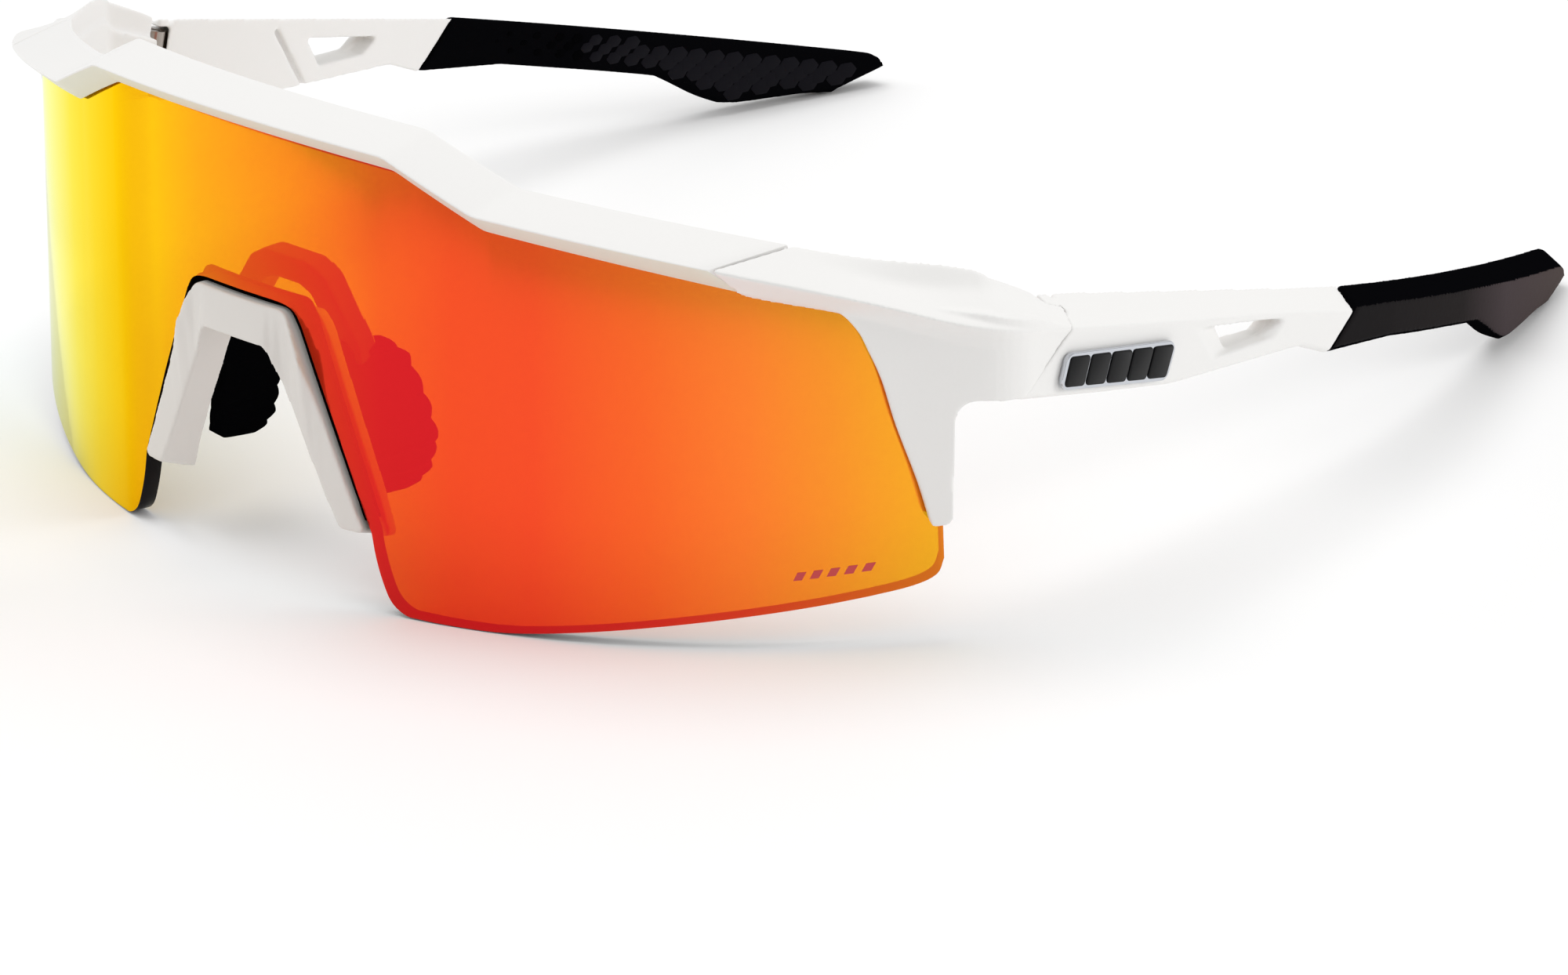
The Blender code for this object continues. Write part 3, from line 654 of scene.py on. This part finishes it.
def ridge_drop(y):
    """How far the outer ridge lies below the inner top edge."""
    return 2.5 - 0.8 * min(1.0, max(0.0, (y + 25.5) / 46.0))


def arm_ring(y, shrink=0.0):
    xi, top = inner_top(y)
    xo = xi + width_at(y) - shrink
    foot = between(ARM_FOOT, y) + shrink
    return [(xi + shrink, y, top - shrink), (xo, y, top - ridge_drop(y) - shrink * 0.3), (xo, y, foot + 0.4),
            (xo - 0.5, y, foot), (xi + shrink + 0.3, y, foot)]


def slanted(ring, lean):
    """Leans a section: points lower down move forward, and faster below the ridge."""
    top = max(p[2] for p in ring)

    def run(z):
        return min(2.0, top - z) + 1.75 * max(0.0, top - z - 2.0)

    return [(x, y - lean * run(z), z) for x, y, z in ring]


def window():
    """Cutter for the opening in the arm: a pocket inside, a thin web and a recess outside."""
    pocket = [(-4.2, 24.5), (7.7, 21.5), (5.0, 20.0), (-2.2, 20.6)]
    hole = [(-3.9, 23.95), (6.9, 21.3), (3.6, 20.2), (-2.0, 20.6)]
    recess = [(-8.6, 24.9), (7.3, 21.5), (5.4, 19.9), (-5.6, 20.6)]
    layers = [(60.0, pocket), (67.9, pocket), (68.3, hole), (68.8, hole),
              (OUT_X + 0.1, recess), (73.0, recess)]
    return loft("window", [[(x, y, z) for y, z in shape] for x, shape in layers])


def inner_groove():
    """A thin slanting groove across the arm's inner face."""
    rings = []
    for z in (15.0, 26.9):
        y = -8.0 - 0.55 * (z - 24.0)
        rings.append([(60.0, y, z), (66.4, y, z), (66.4, y + 0.7, z), (60.0, y + 0.7, z)])
    return loft("groove", rings)


def make_arm():
    rings = [arm_ring(y) for y in steps_between(-40.0, 10.0, 2.0)]
    rings.append(slanted(arm_ring(GRIP_START - GAP), GRIP_LEAN))
    arm = loft("temple_arm_L", rings)
    combine(arm, loft("spigot", [arm_ring(y, SPIGOT_SHRINK) for y in (6.0, 18.0, 30.0, 42.0)]), "UNION")
    place = hinge_space()
    cap = prism(disc_outline(CAP_R), ARM_POCKET[1], 12.0, place, "cap")
    whole = bpy.data.objects.new("whole", arm.data.copy())
    bpy.context.scene.collection.objects.link(whole)
    combine(cap, whole, "INTERSECT")
    # The lid's front is cut back so that it clears the end frame when the temple folds
    combine(cap, block((-3.0, -4.0, 0.0), (3.0, CAP_FRONT, 14.0), place), "DIFFERENCE")
    combine(arm, seam_cutter(GAP, 50.0, 90.0, False), "DIFFERENCE")
    combine(arm, block((-20.0, -40.0, -20.0), (SPLIT_X + 0.25 - HINGE.x, -0.5, 20.0), place), "DIFFERENCE")
    combine(arm, prism(disc_outline(ARM_POCKET[0]), WELL, ARM_POCKET[1], place), "DIFFERENCE")
    combine(arm, cap, "UNION")
    combine(arm, block((-LEAF_SLOT, -1.0, -3.6), (LEAF_SLOT, LEAF_REACH, 3.6), place), "DIFFERENCE")
    combine(arm, window(), "DIFFERENCE")
    combine(arm, inner_groove(), "DIFFERENCE")
    return softened(arm)


def grip_ring(y, foot):
    xi, top = inner_top(y)
    xo = xi + width_at(y)
    return [(xi, y, top), (xi + 0.9, y, top), (xo, y, top - ridge_drop(y) * 0.8), (xo, y, foot + 0.6),
            (xo - 0.7, y, foot), (xi + 0.6, y, foot), (xi, y, foot + 0.6)]


# (y, height) of the grip's lower edge
GRIP_FOOT = [(GRIP_START, 15.1), (26.5, 13.2), (34.0, 11.1), (42.0, 8.9), (47.6, 7.3), (49.8, 6.6),
             (52.0, 5.2), (55.5, 2.8), (57.5, 1.7), (60.0, 1.2), (63.0, 1.0), (69.0, 0.7), (73.0, 0.1)]


def make_grip():
    """Rubber sleeve: follows the arm, then drops behind the ear and ends in a rounded slanted tip."""
    first = slanted(grip_ring(GRIP_START, between(ARM_FOOT, GRIP_START)), GRIP_LEAN)
    rings = [first] + [grip_ring(y, between(GRIP_FOOT, y)) for y in steps_between(27.5, 72.0, 1.3)]
    low = grip_ring(73.0, 0.1)
    for y, drop in ((75.2, 0.0), (77.6, 0.05), (78.7, 0.5), (79.3, 1.4)):
        rings.append([(x, yy, z - drop) for x, yy, z in grip_ring(y, 0.1)[:3]] + low[3:])
    grip = loft("temple_grip_L", rings)
    cavity = loft("cavity", [arm_ring(y, SPIGOT_SHRINK - GAP) for y in (0.0, 18.0, 30.0, 42.0 + GAP)])
    return softened(combine(grip, cavity, "DIFFERENCE"), VOXEL, 6)


STUD_FROM, STUD_TO = 24.5, 77.0    # y of the first and past the last column
FINE_TO = 34.0                     # the columns are wider apart up to this y
DOT_LIMIT = 0.72                   # smaller ones are dots, larger ones studs
STUD_LAYERS = ((-0.15, 1.0), (0.05, 1.0), (0.11, 0.86))   # height above the grip, share of full width
STUD_SIDES = 12


def stud_places():
    """Yields the centre on the grip's inner face and the size of each dot or stud."""
    y, column = STUD_FROM, 0
    while y < STUD_TO:
        size = 0.28 + 0.92 * min(1.0, max(0.0, (y - 27.0) / 24.0))
        xi, top = inner_top(y)
        foot = between(GRIP_FOOT, y) + (0 if y < 75 else 2.5)
        for row in range(-4, 9):
            z = top - 1.5 - row * 2.1 - (1.05 if column % 2 else 0.0)
            off_top = z > top - 0.9 - size * 0.6 or (y > 72.5 and z > top - 1.6)
            if not off_top and z >= foot + 0.8 + size * 0.6:
                yield Vector((xi, y, z)), size
        y += 1.25 if y > FINE_TO else 3.1 / 1.6
        column += 1


def studs(name, dots):
    """Low six-sided studs on the grip's inner face, growing toward the tip; the small ones are dots."""
    points, faces = [], []
    for centre, size in stud_places():
        if (size < DOT_LIMIT) != dots:
            continue
        slope = inner_top(centre.y + 0.5)[0] - inner_top(centre.y - 0.5)[0]
        tangent = Vector((slope, 1.0, 0.0)).normalized()
        outward = Vector((-tangent.y, tangent.x, 0.0))
        base = len(points)
        for depth, scale in STUD_LAYERS:
            for k in range(STUD_SIDES):
                angle = 2 * pi * k / STUD_SIDES
                reach = size * (1.0 + 0.06 * cos(6 * angle)) * scale
                spread = tangent * (reach * 1.16 * cos(angle)) + Vector((0, 0, reach * 0.86 * sin(angle)))
                points.append(centre + spread + outward * depth)
        for level in (0, STUD_SIDES):
            for k in range(STUD_SIDES):
                a, b = base + level + k, base + level + (k + 1) % STUD_SIDES
                faces.append((a, b, b + STUD_SIDES, a + STUD_SIDES))
        faces.append(tuple(base + k for k in range(STUD_SIDES))[::-1])
        faces.append(tuple(base + 2 * STUD_SIDES + k for k in range(STUD_SIDES)))
    return mesh_object(name, points, faces)


SIDE = Matrix(((0, 0, 1, 0), (1, 0, 0, 0), (0, 1, 0, 0), (0, 0, 0, 1)))   # (y, z, x) to (x, y, z)
BADGE = ((-29.3, 28.6), (-11.8, 24.9), (-13.5, 20.9), (-30.6, 24.9))      # corners as (y, height)
BADGE_BASE = OUT_X + GAP
BADGE_BARS = 5
DASHES = 5


def badge_cell(front, rear, low, high):
    """Outline of a slanted strip of the badge between two shares of its length."""
    a, b, c, d = (Vector(p) for p in BADGE)
    corners = []
    for t, s in ((front, high), (rear, high), (rear, low), (front, low)):
        upper, lower = a + (b - a) * t, d + (c - d) * t
        corners.append(tuple(lower + (upper - lower) * s))
    return corners


def make_badge():
    outline = rounded(badge_cell(0.0, 1.0, 0.0, 1.0), [1.1] * 4, 5)
    return bevelled(prism(outline, BADGE_BASE - 0.15, BADGE_BASE + 0.42, SIDE, "badge_rim_L"), 0.14, 2)


def make_badge_bars():
    bars = None
    for i in range(BADGE_BARS):
        start = 0.025 + i * 0.192
        cell = rounded(badge_cell(start, start + 0.18, 0.09, 0.91), [0.45] * 4, 4)
        bar = prism(cell, BADGE_BASE + 0.2, BADGE_BASE + 0.56, SIDE, "badge_bars_L")
        bar = bevelled(bar, 0.1, 2)
        bars = combine(bars, bar, "UNION") if bars else bar
    return bars


def make_lens_dashes():
    """A short row of plain slanted dashes near the lens's lower corner."""
    points, faces = [], []
    for i in range(DASHES):
        x = 55.4 + i * 1.15
        z0 = 7.35 + 0.16 * i
        base = len(points)
        for radius in (LENS_R - 0.05, LENS_R + 0.02):
            for dx, dz in ((0.0, 0.0), (0.62, 0.06), (0.92, 0.95), (0.30, 0.89)):
                points.append(on_lens(lens_u(x + dx), radius, z0 + dz))
        for k in range(4):
            a, b = base + k, base + (k + 1) % 4
            faces.append((a, b, b + 4, a + 4))
        faces.append((base + 3, base + 2, base + 1, base))
        faces.append((base + 4, base + 5, base + 6, base + 7))
    return mesh_object("lens_dashes", points, faces)


# ---------------------------------------------------------------- materials


def linear(code):
    """A hex colour as linear values."""
    parts = [int(code[i:i + 2], 16) / 255 for i in (1, 3, 5)]
    return [c / 12.92 if c <= 0.04045 else ((c + 0.055) / 1.055) ** 2.4 for c in parts]


def surface(name, color, roughness, metallic=0.0, grain=0.0, scale=900.0, tint=0.03, shine=0.5):
    """A Principled material with fine procedural grain in its colour, gloss and normal."""
    made = bpy.data.materials.new(name)
    made.use_nodes = True
    nodes, links = made.node_tree.nodes, made.node_tree.links
    shader = nodes["Principled BSDF"]
    shader.inputs["Metallic"].default_value = metallic
    shader.inputs["Specular IOR Level"].default_value = shine
    place = nodes.new("ShaderNodeTexCoord")
    noise = nodes.new("ShaderNodeTexNoise")
    noise.inputs["Scale"].default_value = scale
    noise.inputs["Detail"].default_value = 3.0
    links.new(place.outputs["Object"], noise.inputs["Vector"])
    ramp = nodes.new("ShaderNodeValToRGB")
    low = [c * (1 - tint) for c in color]
    high = [min(1.0, c * (1 + tint)) for c in color]
    ramp.color_ramp.elements[0].color = low + [1.0]
    ramp.color_ramp.elements[1].color = high + [1.0]
    links.new(noise.outputs["Fac"], ramp.inputs["Fac"])
    links.new(ramp.outputs["Color"], shader.inputs["Base Color"])
    rough = nodes.new("ShaderNodeMapRange")
    rough.inputs["To Min"].default_value = max(0.02, roughness - 0.04)
    rough.inputs["To Max"].default_value = min(1.0, roughness + 0.04)
    links.new(noise.outputs["Fac"], rough.inputs["Value"])
    links.new(rough.outputs["Result"], shader.inputs["Roughness"])
    if grain:
        bump = nodes.new("ShaderNodeBump")
        bump.inputs["Strength"].default_value = grain
        bump.inputs["Distance"].default_value = 0.00003
        links.new(noise.outputs["Fac"], bump.inputs["Height"])
        links.new(bump.outputs["Normal"], shader.inputs["Normal"])
    return made


def ramp_along(made, axis, stops):
    """The output of a colour ramp along an axis of the object; stops are (metres, linear colour)."""
    nodes, links = made.node_tree.nodes, made.node_tree.links
    place = nodes.new("ShaderNodeTexCoord")
    split = nodes.new("ShaderNodeSeparateXYZ")
    along = nodes.new("ShaderNodeMapRange")
    low, high = stops[0][0], stops[-1][0]
    along.inputs["From Min"].default_value = low
    along.inputs["From Max"].default_value = high
    ramp = nodes.new("ShaderNodeValToRGB")
    line = ramp.color_ramp.elements
    for i, (at, color) in enumerate(stops):
        spot = (at - low) / (high - low)
        stop = line[i] if i < 2 else line.new(spot)
        stop.position = spot
        stop.color = list(color) + [1.0]
    links.new(place.outputs["Object"], split.inputs["Vector"])
    links.new(split.outputs[axis], along.inputs["Value"])
    links.new(along.outputs["Result"], ramp.inputs["Fac"])
    return ramp.outputs["Color"]


def fade_along_y(made, stops):
    """Recolours a surface() material along the object's length."""
    color = ramp_along(made, "Y", [(y, linear(code)) for y, code in stops])
    made.node_tree.links.new(color, made.node_tree.nodes["Principled BSDF"].inputs["Base Color"])


def see_through(name):
    """A Principled material mixed with a Transparent shader."""
    made = bpy.data.materials.new(name)
    made.use_nodes = True
    nodes, links = made.node_tree.nodes, made.node_tree.links
    shader = nodes["Principled BSDF"]
    clear = nodes.new("ShaderNodeBsdfTransparent")
    mix = nodes.new("ShaderNodeMixShader")
    links.new(shader.outputs["BSDF"], mix.inputs[1])
    links.new(clear.outputs["BSDF"], mix.inputs[2])
    links.new(mix.outputs["Shader"], nodes["Material Output"].inputs["Surface"])
    return made


# x in mm, colour of the whole lens over a white ground, and of its reflection alone where they differ
LENS_STOPS = [
    (-65, "#d8f0ee", None), (-56, "#dcf4ee", None), (-50, "#e8fbe0", None), (-45, "#f4fac0", None),
    (-40, "#fff096", None), (-34, "#ffe24e", None), (-28, "#ffd320", None), (-22, "#ffc408", None),
    (-14, "#fdbb12", "#e48e14"), (-6, "#f8a41a", "#de661c"), (0, "#f5901c", "#dc4a1e"),
    (8, "#f17c20", "#da3420"), (18, "#ee5820", "#d42226"), (26, "#ed4a24", "#d12028"),
    (34, "#ee4a26", "#d2222a"), (44, "#f1602b", "#d62c2a"), (52, "#f4762f", "#da3e2a"),
    (58, "#f68a2c", "#e05628"), (65, "#fba526", "#e87424")]
REFLECT_LIGHT, GROUND_LIGHT = 0.98, 0.74        # light that reaches the eye by the coat and through it
SEE_THROUGH, LEAST_CLEAR = 0.28, 0.12           # transparent share, and the least part of it
CLEAR_FROM, CLEAR_OVER = -22.0, 8.0             # the share rises from this x over this many mm


def lens_coat():
    """Mirror coat whose colour and transparency change across the lens."""
    made = see_through("lens_coat")
    nodes, links = made.node_tree.nodes, made.node_tree.links
    shader = nodes["Principled BSDF"]
    shader.inputs["Metallic"].default_value = 1.0
    shader.inputs["Specular Tint"].default_value = (1.0, 1.0, 0.5, 1.0)
    shader.inputs["Roughness"].default_value = 0.09
    mirror, window_tint, shares = [], [], []
    for x, whole, own in LENS_STOPS:
        whole, own = linear(whole), linear(own or whole)
        share = SEE_THROUGH * min(1.0, max(LEAST_CLEAR, (x - CLEAR_FROM) / CLEAR_OVER))
        at = x * 0.001
        mirror.append((at, [min(1.0, c / REFLECT_LIGHT / (1 - share)) for c in own]))
        passed = [(w - o) / GROUND_LIGHT / share for w, o in zip(whole, own)]
        window_tint.append((at, [min(1.0, max(0.0, c)) for c in passed]))
        shares.append((at, [share] * 3))
    links.new(ramp_along(made, "X", mirror), shader.inputs["Base Color"])
    links.new(ramp_along(made, "X", window_tint), nodes["Transparent BSDF"].inputs["Color"])
    links.new(ramp_along(made, "X", shares), nodes["Mix Shader"].inputs["Fac"])
    return made


def lens_back():
    """Dark brown, almost clear inner face."""
    made = see_through("lens_back")
    nodes = made.node_tree.nodes
    shader = nodes["Principled BSDF"]
    shader.inputs["Base Color"].default_value = linear("#5a2a1c") + [1.0]
    shader.inputs["Roughness"].default_value = 0.08
    nodes["Mix Shader"].inputs["Fac"].default_value = 0.95
    return made


WHITE = surface("white_soft_touch", linear("#eeedeb"), 0.48, grain=0.25, scale=2600.0, tint=0.008)
# Painted shade: a darker, warmer white for the faces that look down under the brow's lip
UNDER_LIP_SHADE = surface("white_under_lip", linear("#e4e5d8"), 0.5, grain=0.2, scale=2600.0, tint=0.01)
RUBBER = surface("rubber_charcoal", linear("#070709"), 0.66, grain=0.5, scale=1800.0, tint=0.12, shine=0.0)
# Painted light: the grip's outer faces are lighter than its top, as if lit from the side, and a painted
# sheen makes them lighter still toward the tip
RUBBER_PAINTED_SIDE_LIGHT = surface("rubber_side", linear("#2a2423"), 0.6, grain=0.5, scale=1800.0, tint=0.10, shine=0.02)
fade_along_y(RUBBER_PAINTED_SIDE_LIGHT, [(0.020, "#1a1819"), (0.045, "#1f1b1b"), (0.058, "#41383a"), (0.076, "#463c3a")])
RUBBER_DARK = surface("rubber_black", linear("#050506"), 0.7, grain=0.5, scale=1800.0, tint=0.12, shine=0.0)
STUD = surface("rubber_stud", linear("#111015"), 0.5, grain=0.3, scale=1800.0, tint=0.06, shine=0.05)
STEEL = surface("hinge_satin_steel", linear("#aaa29a"), 0.32, 1.0, grain=0.15, scale=700.0, tint=0.08)
CHROME = surface("badge_chrome", linear("#c9ccd2"), 0.10, 1.0, scale=500.0, tint=0.03)
INK = surface("badge_black", linear("#060608"), 0.3, scale=500.0, tint=0.05, shine=0.15)
# Partly painted shade: the lens's cut edge is near black, and it also stands for the shade in the gaps
# beside it
LENS_EDGE_SHADE = surface("lens_cut_edge", linear("#0b0506"), 0.3, scale=600.0, tint=0.05, shine=0.1)
DASH = surface("lens_dash", linear("#c63a3c"), 0.25, scale=600.0, tint=0.02)
NOSE_WHITE = surface("nose_white", linear("#dcd8d3"), 0.48, grain=0.25, scale=2600.0, tint=0.008)
# Painted shade: grey in place of the bridge's white, for the shade it lies in behind the lens
SHADE = surface("bridge_front_grey", linear("#5d5857"), 0.55, grain=0.2, scale=2600.0, tint=0.02)
FLOOR = surface("floor_pale", linear("#fbfbfb"), 0.9, scale=3.0, tint=0.004)


def paint(made, *materials):
    made.data.materials.clear()
    for m in materials:
        made.data.materials.append(m)
    return made


# ---------------------------------------------------------------- assembly


def shade_under_lip(made):
    """Gives the faces that look down under the lip a darker, warmer tone, as painted shade under the lip."""
    for face in made.data.polygons:
        centre, normal = face.center, face.normal
        outside = hypot(centre.x, centre.y) > LENS_R - 0.4
        lip_z = fall(LIP_PLANE, centre.y) + rise(centre.x)
        face.material_index = 1 if outside and normal.z < -0.25 and centre.z < lip_z - 0.1 else 0


def both(made, body, node, angle=None):
    """Finishes a left piece and its mirror image on the right."""
    other = mirrored(made, made.name[:-2] + "_R")
    for piece, side in ((made, "left"), (other, "right")):
        nodes = [node + "_" + side] if node else []
        finished(piece, body.format(side=side), nodes, angle)


brow = paint(make_brow(), WHITE, UNDER_LIP_SHADE)
shade_under_lip(brow)
finished(brow, "front", ["brow_frame"], 35)

lens = make_lens()
paint(lens, lens_coat(), lens_back(), LENS_EDGE_SHADE)
# The cut edges take the near-black edge colour, which is partly painted shade
for face in lens.data.polygons:
    out = Vector((face.center.x, face.center.y, 0)).normalized()
    facing = face.normal.dot(out)
    face.material_index = 0 if facing > 0.6 else 1 if facing < -0.6 else 2
finished(lens, "front", ["shield_lens"], 30)
finished(paint(make_lens_dashes(), DASH), "front", [], 30)

finished(paint(make_bumper(), NOSE_WHITE), "front", ["nose_bumper"])
# Painted shade: a black sheet in the gap between the bumper and the lens
finished(paint(make_gap_shade_sheet(), RUBBER_DARK), "front", [], 30)
bridge = paint(make_bridge(), WHITE, SHADE)
# Painted shade on every face of the bridge except those that look back
for face in bridge.data.polygons:
    face.material_index = 0 if face.normal.y > 0.3 else 1
finished(bridge, "front", ["nose_bridge"])

both(paint(make_end_frame(), WHITE), "front", "end_frame")
both(paint(make_pad(), RUBBER_DARK), "front", "nose_pad")
both(paint(make_arm(), WHITE), "{side}_temple", "temple_arm")
grip = paint(make_grip(), RUBBER, RUBBER_PAINTED_SIDE_LIGHT)
# Painted light: the faces that look outward take the lighter, side-lit rubber
for face in grip.data.polygons:
    face.material_index = 1 if face.normal.x > 0.80 else 0
both(grip, "{side}_temple", "temple_grip")
both(paint(studs("grip_dots_L", True), RUBBER_DARK), "{side}_temple", None, 40)
both(paint(studs("grip_studs_L", False), STUD), "{side}_temple", None, 40)
both(paint(make_badge(), CHROME), "{side}_temple", "temple_badge", 40)
both(paint(make_badge_bars(), INK), "{side}_temple", None, 40)

for name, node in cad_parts.items():
    if name.startswith("hinge"):
        paint(node, STEEL)


# ---------------------------------------------------------------- stage


def area_light(name, place, aim, size, power):
    """A soft round lamp that lights the object but doesn't show in its gloss."""
    data = bpy.data.lights.new(name, "AREA")
    data.shape = "DISK"
    data.size = size
    data.energy = power
    lamp = bpy.data.objects.new(name, data)
    lamp.location = place
    lamp.rotation_euler = (Vector(aim) - Vector(place)).to_track_quat("-Z", "Y").to_euler()
    lamp.visible_glossy = False
    bpy.context.scene.collection.objects.link(lamp)


floor = block((-4000.0, -4000.0, -20.0), (4000.0, 4000.0, -0.05))
floor.name = "floor"
floor.data.transform(Matrix.Scale(0.001, 4))
paint(floor, FLOOR)

area_light("key_top", (-0.2, -0.15, 0.95), (0.0, -0.02, 0.02), 0.8, 3.7)
area_light("side_right", (0.9, 0.75, 0.4), (0.05, 0.0, 0.03), 0.6, 4.5)
area_light("fill_left", (-0.9, -0.7, 0.55), (-0.03, -0.05, 0.01), 0.6, 1.8)

world = bpy.data.worlds.new("studio")
world.use_nodes = True
world.node_tree.nodes["Background"].inputs["Color"].default_value = (1.0, 1.0, 1.0, 1.0)
world.node_tree.nodes["Background"].inputs["Strength"].default_value = 0.64
bpy.context.scene.world = world
bpy.context.scene.view_settings.view_transform = "Standard"

view = bpy.data.cameras.new("photo_camera")
view.lens = 162.0
view.sensor_width = 36.0
view.clip_start = 0.01
camera = bpy.data.objects.new("photo_camera", view)
# Axes and place of the photo's camera
right, up, back = (0.74076, 0.67175, -0.00586), (-0.25652, 0.29092, 0.92172), (0.62087, -0.68126, 0.38782)
camera_place = Matrix.Translation((0.49524, -0.53822, 0.29277))
camera.matrix_world = camera_place @ Matrix((right, up, back)).transposed().to_4x4()
bpy.context.scene.collection.objects.link(camera)
bpy.context.scene.camera = camera
